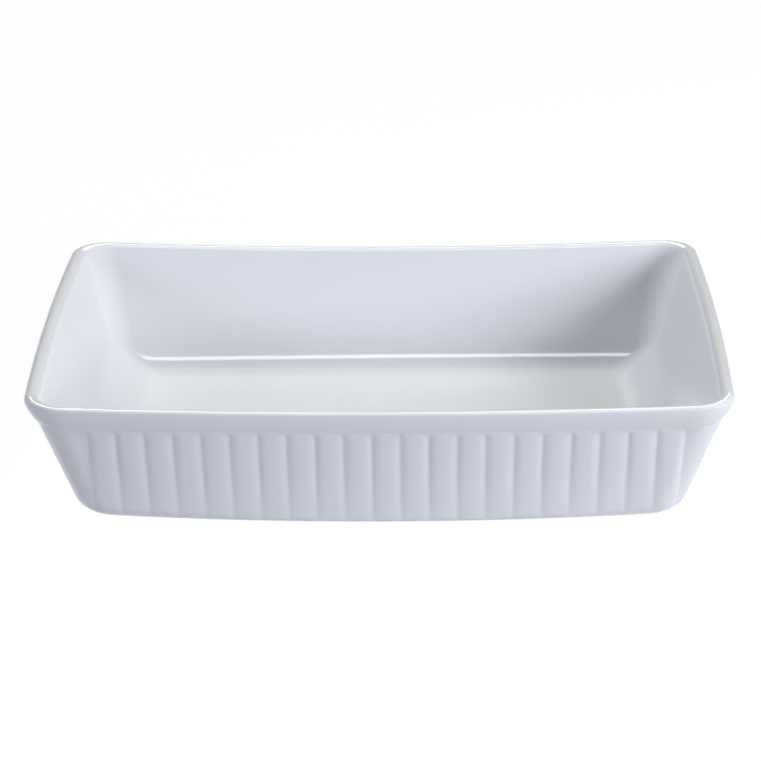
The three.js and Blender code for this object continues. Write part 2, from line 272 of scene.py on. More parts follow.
class Quarter:
    """A quarter of an outline seen from above, walked from the middle of a long side to that of an end."""

    def __init__(self, half_length, half_width, corner):
        self.half_length = half_length
        self.half_width = half_width
        self.corner = max(corner, LEAST_CORNER)
        self.side_run = half_length - self.corner
        self.end_run = half_width - self.corner
        self.corner_run = self.corner * QUARTER_TURN
        self.total = self.side_run + self.corner_run + self.end_run

    def at(self, walked):
        """The place at a walked distance, and the direction out of the dish there."""
        turn = min(max((walked - self.side_run) / self.corner, 0.0), QUARTER_TURN)
        along_end = max(walked - self.side_run - self.corner_run, 0.0)
        outward = Vector((math.sin(turn), math.cos(turn)))
        centre = Vector((min(walked, self.side_run), self.end_run - along_end))
        return centre + outward * self.corner, outward


class Level:
    """One level of the section: its height, its distance outside the reeds' crowns and its corner radius.

    reed is the share of the full groove depth, and flow how the glaze ran there: above zero it pooled, below
    zero it thinned;
    in the hollow under the band the pool is also painted shade. The ends can have a height and an offset of
    their own.
    """

    def __init__(self, height, offset, corner, reed=0.0, flow=0.0):
        self.height = height
        self.offset = offset
        self.end_height = height
        self.end_offset = offset
        self.corner = corner
        self.reed = reed
        self.flow = flow

    def with_ends(self, height, offset):
        """The same level with another height and offset at the ends."""
        self.end_height = height
        self.end_offset = offset
        return self

    def height_facing(self, outward):
        """The height where the wall faces this way."""
        return mix(self.height, self.end_height, outward.x ** 2)

    def offset_facing(self, outward):
        """The offset where the wall faces this way."""
        return mix(self.offset, self.end_offset, outward.x ** 2)


class DishForm:
    """The shape of the dish, worked out from its sizes."""

    def __init__(self, sizes):
        self.sizes = sizes
        self.floor_top = sizes.foot_height + sizes.floor_thickness
        self.cove_top = self.floor_top + sizes.cove_radius
        self.widest = sizes.corner_height - WIDEST_DEPTH
        self.lean = (sizes.rim_length / 2 - sizes.band_proud - sizes.base_length / 2) / self.widest
        self.dips = (sizes.front_dip, sizes.back_dip, sizes.back_dip, sizes.front_dip)
        self.outer_rounds = (sizes.rim_outer_round, sizes.end_outer_round)
        self.inner_rounds = (sizes.rim_inner_round, sizes.end_inner_round)
        self.rim_thicknesses = (sizes.rim_thickness, sizes.end_rim_thickness)
        self.lip_top = sizes.corner_height - sizes.band_height + LIP_ROUND
        self.lip_foot = sizes.corner_height - sizes.band_height - sizes.lip_fillet
        self.foot_inset = sizes.heel_radius + sizes.heel_corner_gain + sizes.foot_setback
        self.side_reeds = self.whole_reeds(sizes.base_length / 2 - sizes.base_end_bow)
        self.end_reeds = self.whole_reeds(sizes.base_width / 2 - sizes.base_side_bow - sizes.base_corner)

    def whole_reeds(self, straight):
        """Reeds from the middle of a side to its last groove, counting half of the middle one."""
        return math.floor(straight / self.sizes.reed_pitch - 0.5) + 0.5

    def leaning(self, at_base, at_rim, height):
        """A size that runs straight from the table to the rim's widest level."""
        return mix(at_base, at_rim, height / self.widest)

    def end_bow(self, height):
        """Bow of the ends at a height."""
        return self.leaning(self.sizes.base_end_bow, self.sizes.rim_end_bow, height)

    def side_bow(self, height):
        """Bow of the long sides at a height."""
        return self.leaning(self.sizes.base_side_bow, self.sizes.rim_side_bow, height)

    def outside(self, height, offset, reed=0.0, flow=0.0):
        """A level of the outside."""
        corner = self.leaning(self.sizes.base_corner, self.sizes.rim_corner, height) + offset
        return Level(height, offset, corner, reed, flow)

    def inside(self, height, offset, flow=0.0):
        """A level of the inside."""
        corner = self.leaning(self.sizes.inside_corner_floor, self.sizes.inside_corner_rim, height)
        return Level(height, offset, corner + offset + self.sizes.wall_thickness, 0.0, flow)

    def foot(self, height, offset):
        """A level of the foot ring."""
        return Level(height, offset, self.sizes.foot_corner)

    def quarter(self, level):
        """A quarter of the outline at a level, before its sides and ends bow."""
        sizes = self.sizes
        rim_half_length = sizes.rim_length / 2 - sizes.band_proud
        rim_half_width = sizes.rim_width / 2 - sizes.band_proud
        half_length = self.leaning(sizes.base_length / 2, rim_half_length, level.end_height)
        half_width = self.leaning(sizes.base_width / 2, rim_half_width, level.height)
        return Quarter(half_length - self.end_bow(level.end_height) + level.end_offset,
                       half_width - self.side_bow(level.height) + level.offset, level.corner)

    def reeded_stations(self, columns):
        """Places along a quarter, counted in reeds from the middle of the long side, with a plain corner."""
        total = self.side_reeds + 1 + self.end_reeds
        stations = []
        for reed in range(math.floor(total) + 1):
            here = columns * CORNER_COLUMNS if self.side_reeds < reed < self.side_reeds + 1 else columns
            for column in range(here):
                station = reed + 0.5 * math.sin(math.pi * (column / here - 0.5))
                if 0 <= station <= total:
                    stations.append(station)
        return stations

    def reeded_walk(self, quarter, station):
        """Walked distance to a station: even on sides and ends, and drawn out round the corner."""
        pitch = self.sizes.reed_pitch
        total = self.side_reeds + 1 + self.end_reeds
        if station <= self.side_reeds:
            return station * pitch
        if station >= total - self.end_reeds:
            return quarter.total - (total - station) * pitch
        first = self.side_reeds * pitch
        last = quarter.total - self.end_reeds * pitch
        return mix(first, last, station - self.side_reeds)

    def plain_stations(self):
        """Places along a quarter of a plain ring: up to 1 on the side, 2 round the corner and 3 on the end.

        They come twice, for the quarters that are walked forwards and for those walked backwards.
        """
        side = [i / PLAIN_SIDE_COLUMNS for i in range(PLAIN_SIDE_COLUMNS)]
        corner = [1 + i / PLAIN_CORNER_COLUMNS for i in range(PLAIN_CORNER_COLUMNS)]
        end = [2 + i / PLAIN_END_COLUMNS for i in range(PLAIN_END_COLUMNS + 1)]
        return side + corner + end, side + corner + end

    def matched_stations(self, columns):
        """Plain stations that lie abreast of the reeded ones half way up the wall, for both directions."""
        middle = self.quarter(self.outside(self.sizes.corner_height / 2, 0.0))
        both = []
        for shift in (self.sizes.reed_shift, -self.sizes.reed_shift):
            matched = []
            for station in self.reeded_stations(columns):
                walked = self.reeded_walk(middle, station) + shift
                on_corner = walked - middle.side_run
                on_end = on_corner - middle.corner_run
                if on_corner <= 0:
                    matched.append(walked / middle.side_run)
                elif on_end <= 0:
                    matched.append(1 + on_corner / middle.corner_run)
                else:
                    matched.append(2 + on_end / middle.end_run)
            both.append(matched)
        return both

    def plain_walk(self, quarter, station):
        """Walked distance to a plain station."""
        on_side = min(station, 1.0) * quarter.side_run
        on_corner = min(max(station - 1.0, 0.0), 1.0) * quarter.corner_run
        on_end = max(station - 2.0, 0.0) * quarter.end_run
        return on_side + on_corner + on_end

    def groove(self, station):
        """Share of the groove's depth across a reed: a full, flat crown and a rounded groove."""
        across = 2 * abs(station - round(station))
        return (1 - math.cos(math.pi * across ** REED_FULLNESS)) / 2

    def corner_share(self, quarter, walked):
        """How near a place is to a corner: 0 in the middle of a side, nearly 1 on the corner."""
        place, _ = quarter.at(walked)
        return (place.x / quarter.half_length) ** 2 * (place.y / quarter.half_width) ** 2

    def bowed(self, quarter, place, height, dip):
        """A point of the dish: sides and ends bow out, and the rim dips along the sides."""
        along = place.x / quarter.half_length
        across = place.y / quarter.half_width
        off_side = 1 - across ** 2
        off_end = 1 - along ** 2
        up_the_wall = max(0.0, (height - self.cove_top) / (self.sizes.corner_height - self.cove_top))
        rise = self.sizes.end_rise * off_side - dip * off_end
        return Vector((place.x + self.end_bow(height) * off_side * along,
                       place.y + self.side_bow(height) * off_end * across,
                       height + up_the_wall * rise))

    def reeded_ring(self, level_at, columns):
        """A closed ring of points and glaze flows that follows the reeds, anticlockwise from above.

        level_at gives the level for a corner share.
        """
        shift = self.sizes.reed_shift
        return all_round([self.reeded_quarter(level_at, columns, along, dip)
                          for along, dip in zip((shift, -shift, shift, -shift), self.dips)])

    def reeded_quarter(self, level_at, columns, shift, dip):
        """A quarter of such a ring, with its reeds shifted along the walk."""
        nominal = self.quarter(level_at(0.0))
        walked_points = []
        for station in self.reeded_stations(columns):
            level = level_at(self.corner_share(nominal, self.reeded_walk(nominal, station) + shift))
            wall = self.quarter(self.outside(level.height, 0.0).with_ends(level.end_height, 0.0))
            place, outward = wall.at(self.reeded_walk(wall, station) + shift)
            groove = self.groove(station) * level.reed
            height = level.height_facing(outward)
            place += outward * (level.offset_facing(outward) - groove * self.sizes.reed_depth)
            pooled = level.flow + POOL_IN_GROOVE * groove ** 2
            walked_points.append((self.bowed(self.quarter(level), place, height, dip), pooled))
        return walked_points

    def plain_ring(self, level, stations):
        """A closed ring of points and glaze flows without reeds, anticlockwise from above."""
        quarter = self.quarter(level)
        walks = []
        for one_way, dip in zip(stations * 2, self.dips):
            walk = []
            for station in one_way:
                place, outward = quarter.at(self.plain_walk(quarter, station))
                walk.append((self.bowed(quarter, place, level.height_facing(outward), dip), level.flow))
            walks.append(walk)
        return all_round(walks)

    def reed_share(self, height, heel_top):
        """Share of the full groove depth at a height: it runs out under the band and eases to the heel."""
        head = 1 - ease(self.lip_foot - self.sizes.reed_head, self.lip_foot, height)
        low = mix(self.sizes.reed_base_share, 1.0, ease(heel_top, self.sizes.reed_ease, height))
        return head * low

    def heel_radius(self, corner):
        """Radius of the heel for a corner share."""
        return self.sizes.heel_radius + self.sizes.heel_corner_gain * corner

    def heel_level(self, turn, depth):
        """A level of the heel, turned down from the wall, with a larger radius at the corners."""
        line = self.sizes.glaze_line
        roll = self.sizes.glaze_roll * ease(-line + GLAZE_ROLL_TURN, -line, turn) if depth == 0 else 0.0
        reed = self.sizes.reed_base_share * ease(-HEEL_REED_TURN, 0.0, turn)

        def level(corner):
            radius = self.heel_radius(corner)
            reach = radius - depth + roll
            height = self.sizes.foot_height + radius + reach * math.sin(turn)
            return self.outside(height, reach * math.cos(turn) - radius, reed)
        return level

    def wall_level(self, up, depth):
        """A level of the reeded wall, as a share of the way from the heel to the hollow under the band."""
        def level(corner):
            heel_top = self.sizes.foot_height + self.heel_radius(corner)
            height = mix(heel_top, self.lip_foot, up)
            reed = self.reed_share(height, heel_top)
            return self.outside(height, -depth - self.sizes.wall_recess * up, reed)
        return level

    def lip_level(self, up, depth):
        """A level of the hollow under the band, as a share of its height."""
        height = mix(self.lip_foot, self.lip_top, up)
        rise = ease(0.0, 1.0, up)
        # Glaze pools darker in the hollow under the band, partly as painted shade, and thins over the band's
        # lower edge
        flow = POOL_AND_PAINTED_SHADE_UNDER_BAND * math.sin(math.pi * rise) ** 2 * (1 - 2 * rise)
        side, end = (mix(-self.sizes.wall_recess, self.band_offset(self.lip_top, radius), rise) - depth
                     for radius in self.outer_rounds)
        return self.outside(height, side, 0.0, flow).with_ends(height, end)

    def band_level(self, up, depth):
        """A level of the band, as a share of the way from the hollow to the rim's round."""
        places = []
        for radius in self.outer_rounds:
            round_foot, _ = self.outer_edge(-self.sizes.band_top_lean, radius, 0.0)
            height = mix(self.lip_top, round_foot, up)
            places.append((height, self.band_offset(height, radius) - depth))
        return self.outside(*places[0]).with_ends(*places[1])

    def band_offset(self, height, radius):
        """How far the band stands out from the wall's slope: it curves down from the rim's round."""
        round_foot, top = self.outer_edge(-self.sizes.band_top_lean, radius, 0.0)
        run = round_foot - self.lip_top
        down = (round_foot - height) / run
        top_slope = math.tan(self.sizes.band_top_lean) - self.lean
        foot_slope = math.tan(self.sizes.band_foot_lean) - self.lean
        return top - run * (top_slope * down + (foot_slope - top_slope) * down ** 2 / 2)

    def outer_edge(self, turn, radius, depth):
        """Height and offset of a place on the rim's outer round, upright over the leaning wall."""
        reach = radius - depth
        height = self.sizes.corner_height - radius + reach * math.sin(turn)
        offset = self.sizes.band_proud - radius + reach * math.cos(turn)
        return height, offset - self.lean * (height - self.widest)

    def inner_edge(self, turn, radius, thickness, depth):
        """Height and offset of a place on the rim's inner round."""
        reach = radius - depth
        height = self.sizes.corner_height - radius + reach * math.sin(turn)
        return height, radius - thickness - reach * math.cos(turn)

    def edge_level(self, turn, depth):
        """A level of the rim's outer round."""
        side, end = (self.outer_edge(turn, radius, depth) for radius in self.outer_rounds)
        return self.outside(*side, 0.0, -math.sin(2 * turn) ** 2).with_ends(*end)

    def outside_levels(self, depth, first_turn):
        """Levels of the outside from the heel up to the middle of the crest, each for a corner share."""
        levels = [self.heel_level(turn, depth) for turn in steps(first_turn, 0.0, HEEL_STEPS)]
        levels += [self.wall_level(up, depth) for up in WALL_RINGS]
        plain = [self.lip_level(up, depth) for up in steps(0.0, 1.0, LIP_STEPS)]
        plain += [self.band_level(up, depth) for up in steps(0.0, 1.0, BAND_STEPS)[1:]]
        plain += [self.edge_level(turn, depth)
                  for turn in steps(-self.sizes.band_top_lean, QUARTER_TURN, EDGE_STEPS)[1:]]
        plain.append(self.crest(depth))
        return levels + [lambda _, level=level: level for level in plain]

    def crest(self, depth):
        """The level where the outside coat and the lining meet, on the middle of the crest."""
        height = self.sizes.corner_height - depth
        middles = []
        for outer, inner, thickness in zip(self.outer_rounds, self.inner_rounds, self.rim_thicknesses):
            _, outer_end = self.outer_edge(QUARTER_TURN, outer, depth)
            middles.append((outer_end + inner - thickness) / 2)
        return self.outside(height, middles[0]).with_ends(height, middles[1])

    def inside_levels(self, depth):
        """Levels of the inside from the crest down to the edge of the flat floor."""
        sizes = self.sizes
        levels = []
        for turn in steps(QUARTER_TURN, 0.0, EDGE_STEPS):
            side, end = (self.inner_edge(turn, radius, thickness, depth)
                         for radius, thickness in zip(self.inner_rounds, self.rim_thicknesses))
            levels.append(self.inside(*side, -math.sin(2 * turn) ** 2).with_ends(*end))
        coves = (sizes.cove_radius, sizes.end_cove_radius)
        for down in steps(0.0, 1.0, INNER_WALL_STEPS)[1:-1]:
            places = []
            for inner, thickness, cove in zip(self.inner_rounds, self.rim_thicknesses, coves):
                height = mix(sizes.corner_height - inner, self.floor_top + cove, down)
                places.append((height, depth - mix(thickness, sizes.wall_thickness, ease(0.0, 1.0, down))))
            levels.append(self.inside(*places[0]).with_ends(*places[1]))
        for turn in steps(0.0, -QUARTER_TURN, COVE_STEPS):
            side, end = ((self.floor_top + cove + (cove + depth) * math.sin(turn),
                          (cove + depth) * math.cos(turn) - cove - sizes.wall_thickness) for cove in coves)
            levels.append(self.inside(*side, POOL_IN_COVE * math.sin(2 * turn) ** 2).with_ends(*end))
        floor = self.floor_top - depth
        for inset in FLOOR_INSETS:
            side, end = ((floor, -cove - sizes.wall_thickness - inset) for cove in coves)
            levels.append(self.inside(*side).with_ends(*end))
        return levels

    def foot_levels(self, depth):
        """Levels of the bare underside, from the inner edge of the foot ring out to the heel."""
        sizes = self.sizes
        underside = sizes.foot_height + depth
        inner = -self.foot_inset - sizes.foot_width
        outer = -self.foot_inset
        edge = sizes.foot_edge
        levels = [self.foot(underside, inner - sizes.foot_draft - UNDERSIDE_EASE),
                  self.foot(underside, inner - sizes.foot_draft)]
        for turn in steps(0.0, QUARTER_TURN, FOOT_EDGE_STEPS):
            levels.append(self.foot(edge * (1 - math.sin(turn)), inner + edge * (1 - math.cos(turn))))
        for turn in steps(QUARTER_TURN, 0.0, FOOT_EDGE_STEPS):
            levels.append(self.foot(edge * (1 - math.sin(turn)), outer - edge * (1 - math.cos(turn))))
        return levels + [self.foot(underside, outer + sizes.foot_draft)]


def all_round(walks):
    """A whole ring from four quarters, front right first: each is turned to its side and joins the next."""
    ring = []
    for x_side, y_side, walk in zip((1, 1, -1, -1), (-1, 1, 1, -1),
                                    (walks[0], walks[1][::-1], walks[2], walks[3][::-1])):
        for point, flow in walk[:-1]:
            ring.append((Vector((point.x * x_side, point.y * y_side, point.z)), flow))
    return ring


def deselect_all():
    """Nothing stays selected, in object mode."""
    if bpy.context.object and bpy.context.object.mode != 'OBJECT':
        bpy.ops.object.mode_set(mode='OBJECT')
    bpy.ops.object.select_all(action='DESELECT')


def lay_ring(mesh, ring):
    """Puts the selected loop of points on a ring, each at its own station."""
    edit = bmesh.from_edit_mesh(mesh)
    station = edit.verts.layers.int["station"]
    flow = edit.verts.layers.float["glaze_flow_and_painted_shade"]
    for vert in edit.verts:
        if vert.select:
            place, pooled = ring[vert[station]]
            vert.co = place
            vert[flow] = pooled
    bmesh.update_edit_mesh(mesh)


def start_ring(name, ring):
    """A circle of points laid on a piece's first ring, left in edit mode."""
    deselect_all()
    bpy.ops.mesh.primitive_circle_add(vertices=len(ring), radius=ring[0][0].length, fill_type='NOTHING')
    piece = bpy.context.object
    piece.name = name
    piece.data.name = name
    numbers = piece.data.attributes.new("station", 'INT', 'POINT')
    numbers.data.foreach_set("value", range(len(ring)))
    piece.data.attributes.new("glaze_flow_and_painted_shade", 'FLOAT', 'POINT')
    bpy.ops.object.mode_set(mode='EDIT')
    bpy.ops.mesh.select_mode(type='EDGE')
    bpy.ops.mesh.select_all(action='SELECT')
    lay_ring(piece.data, ring)
    return piece


def model_rings(name, rings, close_first=False, close_last=False):
    """A skin through rings: a circle is extruded loop by loop, and each loop is laid on the next ring."""
    piece = start_ring(name, rings[0])
    for ring in rings[1:]:
        bpy.ops.mesh.extrude_edges_move(TRANSFORM_OT_translate={"value": (0.0, 0.0, 0.0)})
        lay_ring(piece.data, ring)
    if close_last:
        bpy.ops.mesh.edge_face_add()
    if close_first:
        select_open_loop(piece.data)
        bpy.ops.mesh.edge_face_add()
    return piece


def select_open_loop(mesh):
    """Selects the edges that still have only one face."""
    bpy.ops.mesh.select_all(action='DESELECT')
    edit = bmesh.from_edit_mesh(mesh)
    for edge in edit.edges:
        edge.select_set(edge.is_boundary)
    bmesh.update_edit_mesh(mesh)


def face_outwards(mesh, sign):
    """Turns a skin's faces to look away from the dish's middle, or with a sign of -1 towards it."""
    edit = bmesh.from_edit_mesh(mesh)
    facing = sum(face.normal.xy.dot(face.calc_center_median().xy) * face.calc_area() for face in edit.faces)
    if facing * sign < 0:
        bpy.ops.mesh.select_all(action='SELECT')
        bpy.ops.mesh.flip_normals()


def apply_modifier(piece, kind, **settings):
    """Adds a modifier to a piece and applies it."""
    modifier = piece.modifiers.new(kind.title(), kind)
    for setting, value in settings.items():
        setattr(modifier, setting, value)
    bpy.ops.object.modifier_apply(modifier=modifier.name)


def finish_piece(piece, material, node):
    """Shades a piece, gives it its finish and ties it to the frame."""
    bpy.ops.object.shade_smooth_by_angle(angle=SMOOTH_ANGLE)
    piece.data.attributes.remove(piece.data.attributes["station"])
    piece.data.materials.clear()
    piece.data.materials.append(material)
    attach(piece, "root")
    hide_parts(node)


class Wire:
    """An output of a shader node. Arithmetic on wires adds Math nodes."""

    def __init__(self, shader, socket):
        self.shader = shader
        self.socket = socket

    def output(self, name):
        """Another output of the same node."""
        return Wire(self.shader, self.socket.node.outputs[name])

    def maths(self, operation, first, second):
        """A Math node on two values."""
        return self.shader.node("ShaderNodeMath", {"operation": operation}, {0: first, 1: second})

    def __add__(self, other):
        return self.maths('ADD', self, other)

    __radd__ = __add__

    def __sub__(self, other):
        return self.maths('SUBTRACT', self, other)

    def __rsub__(self, other):
        return self.maths('SUBTRACT', other, self)

    def __mul__(self, other):
        return self.maths('MULTIPLY', self, other)

    __rmul__ = __mul__

    def above(self, low, high):
        """0 below low, 1 above high and a smooth rise between."""
        return self.shader.node("ShaderNodeMapRange", {"interpolation_type": 'SMOOTHSTEP'},
                                {"Value": self, "From Min": low, "From Max": high})


class Shader:
    """A node tree that is filled by expressions."""

    def __init__(self, owner):
        owner.use_nodes = True
        self.tree = owner.node_tree
        self.tree.nodes.clear()

    def node(self, kind, settings=None, sockets=None):
        """Adds a node, sets it up, fills or links its sockets and gives its first live output."""
        made = self.tree.nodes.new(kind)
        for setting, value in (settings or {}).items():
            setattr(made, setting, value)
        for key, value in (sockets or {}).items():
            if isinstance(value, Wire):
                self.tree.links.new(value.socket, made.inputs[key])
            else:
                made.inputs[key].default_value = value
        live = [socket for socket in made.outputs if socket.enabled]
        return Wire(self, live[0]) if live else None

    def blend(self, factor, first, second):
        """A colour between two others."""
        return self.node("ShaderNodeMix", {"data_type": 'RGBA'}, {0: factor, 6: first, 7: second})

    def place(self):
        """The place on the piece, in metres."""
        return self.node("ShaderNodeTexCoord").output("Object")

    def noise(self, place, feature, detail, roughness=0.5):
        """Noise from 0 to 1 whose features have about this size in metres."""
        return self.node("ShaderNodeTexNoise", {},
                         {"Vector": place, "Scale": 1 / feature, "Detail": detail, "Roughness": roughness})

    def bump(self, height, reach):
        """A normal bent by a height from 0 to 1 that reaches this far in metres."""
        return self.node("ShaderNodeBump", {}, {"Strength": 1.0, "Distance": reach, "Height": height})


def opaque(rgb):
    """A colour with full alpha, for a socket."""
    return (rgb[0], rgb[1], rgb[2], 1.0)


def new_material(name):
    """A material to fill, or the one of that name."""
    return bpy.data.materials.get(name) or bpy.data.materials.new(name)


# The glaze: sizes of its clouds, mottle and waves, how high the waves stand, and its index of refraction
GLAZE_CLOUD = 0.05
GLAZE_MOTTLE = 0.006
GLAZE_WAVE = 0.018
GLAZE_WAVE_HEIGHT = 0.000005
GLAZE_IOR = 1.52

# The glaze's clouds: the noise over which they fade in, their tint and how uneven they leave the pools
CLOUD_EDGES = (0.35, 0.75)
CLOUD_TINT = 0.1
POOL_UNEVEN = 0.3

# Thin glaze: the flow at which it starts, how uneven it is, its tint and how much rougher it is
THIN_START = 0.2
THIN_UNEVEN = 0.65
THIN_TINT = 0.5
THIN_ROUGHER = 0.03

# How far the glaze's roughness varies with its mottle, as a share
ROUGHNESS_SPREAD = 0.4

# The clay: sizes of its flashing, grain and grit, how high the grain stands, and its index of refraction
CLAY_FLASH = 0.03
CLAY_GRAIN = 0.0007
CLAY_GRAIN_HEIGHT = 0.00008
CLAY_GRIT = 0.0016
CLAY_IOR = 1.45

# The clay's flashing, grain and grit: where each fades in or out, and the flashing's tint
FLASH_EDGES = (0.35, 0.8)
FLASH_TINT = 0.35
GRAIN_EDGES = (0.45, 0.6)
GRIT_EDGES = (0.1, 0.22)

# How the clay's grain changes its roughness: taken off everywhere, and added where the grain is full
GRAIN_SMOOTHER = 0.1
GRAIN_ROUGHER = 0.16


def patchy(noise, uneven):
    """1 where a noise is full, and less by a share where it is nil."""
    return 1 - uneven + uneven * noise


def white_glaze(finish):
    """Glossy white glaze: cooler where it pooled, warmer where it thinned, with a faint wave; the pool under
    the band is partly painted shade.
    """
    material = new_material("white_glaze")
    shader = Shader(material)
    place = shader.place()
    flow = shader.node("ShaderNodeAttribute", {"attribute_name": "glaze_flow_and_painted_shade"}).output("Fac")
    cloud = shader.noise(place, GLAZE_CLOUD, 3.0)
    mottle = shader.noise(place, GLAZE_MOTTLE, 2.0)
    wave = shader.noise(place, GLAZE_WAVE, 1.0)
    pooled = flow.above(0.0, 1.0) * patchy(cloud, POOL_UNEVEN)
    thinned = (flow * -1.0).above(THIN_START, 1.0) * patchy(mottle, THIN_UNEVEN)
    body = shader.blend(cloud.above(*CLOUD_EDGES) * CLOUD_TINT, opaque(finish.glaze_white),
                        opaque(finish.glaze_pooled))
    body = shader.blend(pooled, body, opaque(finish.glaze_pooled))
    body = shader.blend(thinned * THIN_TINT, body, opaque(finish.glaze_thin))
    varied = 1 - ROUGHNESS_SPREAD / 2 + ROUGHNESS_SPREAD * mottle
    roughness = finish.glaze_roughness * varied + THIN_ROUGHER * thinned
    bump = shader.bump(wave, GLAZE_WAVE_HEIGHT)
    coat = shader.node("ShaderNodeBsdfPrincipled", {}, {
        "Base Color": body, "Roughness": roughness, "IOR": GLAZE_IOR, "Normal": bump})
    shader.node("ShaderNodeOutputMaterial", {}, {"Surface": coat})
    return material


def bare_stoneware(finish):
    """Fired clay left bare: buff, sandy and dull, with dark grit."""
    material = new_material("bare_stoneware")
    shader = Shader(material)
    place = shader.place()
    flash = shader.noise(place, CLAY_FLASH, 3.0)
    grain = shader.noise(place, CLAY_GRAIN, 4.0, 0.65)
    grit = shader.node("ShaderNodeTexVoronoi", {"feature": 'F1'}, {"Vector": place, "Scale": 1 / CLAY_GRIT})
    specks = 1 - grit.above(*GRIT_EDGES)
    flashed = flash.above(*FLASH_EDGES) * FLASH_TINT
    body = shader.blend(flashed, opaque(finish.clay), opaque(finish.clay_dark))
    body = shader.blend(specks * grain.above(*GRAIN_EDGES), body, opaque(finish.clay_dark))
    roughness = finish.clay_roughness - GRAIN_SMOOTHER + GRAIN_ROUGHER * grain
    bump = shader.bump(grain, CLAY_GRAIN_HEIGHT)
    surface = shader.node("ShaderNodeBsdfPrincipled", {}, {
        "Base Color": body, "Roughness": roughness, "IOR": CLAY_IOR, "Normal": bump})
    shader.node("ShaderNodeOutputMaterial", {}, {"Surface": surface})
    return material


class DISH_OT_clay_body(bpy.types.Operator):
    """Models the fired clay vessel with its bare foot ring"""

    bl_idname = "dish.clay_body"
    bl_label = "Clay body"

    def execute(self, context):
        sizes = context.scene.dish_sizes
        form = DishForm(sizes)
        depth = sizes.glaze_thickness * CLAY_UNDER_GLAZE
        columns = CLAY_COLUMNS_PER_REED
        abreast = form.matched_stations(columns)
        foot = [form.plain_ring(level, abreast) for level in form.foot_levels(depth)]
        outside = [form.reeded_ring(level, columns) for level in form.outside_levels(depth, -QUARTER_TURN)]
        inside = [form.plain_ring(level, abreast) for level in form.inside_levels(depth)]
        piece = model_rings("clay_body", foot + outside + inside, close_first=True, close_last=True)
        bpy.ops.mesh.select_all(action='SELECT')
        bpy.ops.mesh.normals_make_consistent(inside=False)
        bpy.ops.object.mode_set(mode='OBJECT')
        finish_piece(piece, bare_stoneware(context.scene.dish_finish), "stoneware_body")
        return {'FINISHED'}


class DISH_OT_glaze_inside(bpy.types.Operator):
    """Models the coat of glaze inside the dish, from the crest to the floor"""

    bl_idname = "dish.glaze_inside"
    bl_label = "Inside glaze"

    def execute(self, context):
        sizes = context.scene.dish_sizes
        form = DishForm(sizes)
        levels = [form.crest(0.0)] + form.inside_levels(0.0)
        rings = [form.plain_ring(level, form.plain_stations()) for level in levels]
        piece = model_rings("glaze_inside", rings, close_last=True)
        face_outwards(piece.data, -1)
        bpy.ops.object.mode_set(mode='OBJECT')
        apply_modifier(piece, 'SOLIDIFY', thickness=sizes.glaze_thickness, offset=-1.0, use_even_offset=True)
        finish_piece(piece, white_glaze(context.scene.dish_finish), "liner_glaze")
        return {'FINISHED'}


class DISH_OT_glaze_outside(bpy.types.Operator):
    """Models the coat of glaze on the rim band and the reeded sides"""

    bl_idname = "dish.glaze_outside"
    bl_label = "Outside glaze"

    def execute(self, context):
        sizes = context.scene.dish_sizes
        form = DishForm(sizes)
        levels = form.outside_levels(0.0, -sizes.glaze_line)
        rings = [form.reeded_ring(level, COLUMNS_PER_REED) for level in levels]
        piece = model_rings("glaze_outside", rings)
        face_outwards(piece.data, 1)
        bpy.ops.object.mode_set(mode='OBJECT')
        apply_modifier(piece, 'SOLIDIFY', thickness=sizes.glaze_thickness, offset=-1.0, use_even_offset=True)
        finish_piece(piece, white_glaze(context.scene.dish_finish), "outer_glaze")
        return {'FINISHED'}


class DISH_OT_glaze_base(bpy.types.Operator):
    """Models the island of glaze inside the foot ring"""

    bl_idname = "dish.glaze_base"
    bl_label = "Base glaze"

    def execute(self, context):
        sizes = context.scene.dish_sizes
        form = DishForm(sizes)
        edge = -form.foot_inset - sizes.foot_width - sizes.foot_draft - sizes.base_glaze_margin
        thickness = sizes.glaze_thickness
        levels = []
        for turn in steps(0.0, QUARTER_TURN, EDGE_STEPS):
            height = sizes.foot_height + thickness * (1 - math.sin(turn))
            levels.append(form.foot(height, edge - BASE_GLAZE_EDGE * (1 - math.cos(turn))))
        levels.append(form.foot(sizes.foot_height, edge - 2 * BASE_GLAZE_EDGE))
        rings = [form.plain_ring(level, form.plain_stations()) for level in levels]
        piece = model_rings("glaze_base", rings, close_first=True, close_last=True)
        bpy.ops.mesh.select_all(action='SELECT')
        bpy.ops.mesh.normals_make_consistent(inside=False)
        bpy.ops.object.mode_set(mode='OBJECT')
        finish_piece(piece, white_glaze(context.scene.dish_finish), "base_glaze")
        return {'FINISHED'}


# The pieces of the dish
PIECES = ("clay_body", "glaze_inside", "glaze_outside", "glaze_base")

# The point that the lights face, and how far from it they stand
LIGHT_TARGET = Vector((0.0, 0.0, 0.035))
LIGHT_DISTANCE = 1.6

# Where each light stands, in degrees: round from the front towards the right, and up
KEY_PLACE = (40, 15)
SIDE_PLACE = (75, 32)
LEFT_PLACE = (-62, 20)
END_PLACE = (-90, 12)
TOP_PLACE = (180, 69)
REAR_PLACE = (180, 13)
FRONT_STRIP_PLACE = (0, 63)
BACK_STRIP_PLACE = (180, 42)

# Width and height of the lights' faces, and how many degrees the front strip leans
SOFTBOX_FACE = (0.45, 0.45)
TOP_FACE = (0.8, 0.8)
FRONT_STRIP_FACE = (1.0, 0.32)
BACK_STRIP_FACE = (1.2, 0.7)
FRONT_STRIP_TILT = 50

# The point that the camera faces, and the width of its sensor in millimetres
CAMERA_TARGET = Vector((-0.000708, 0.0, 0.035483))
SENSOR_WIDTH = 36.0

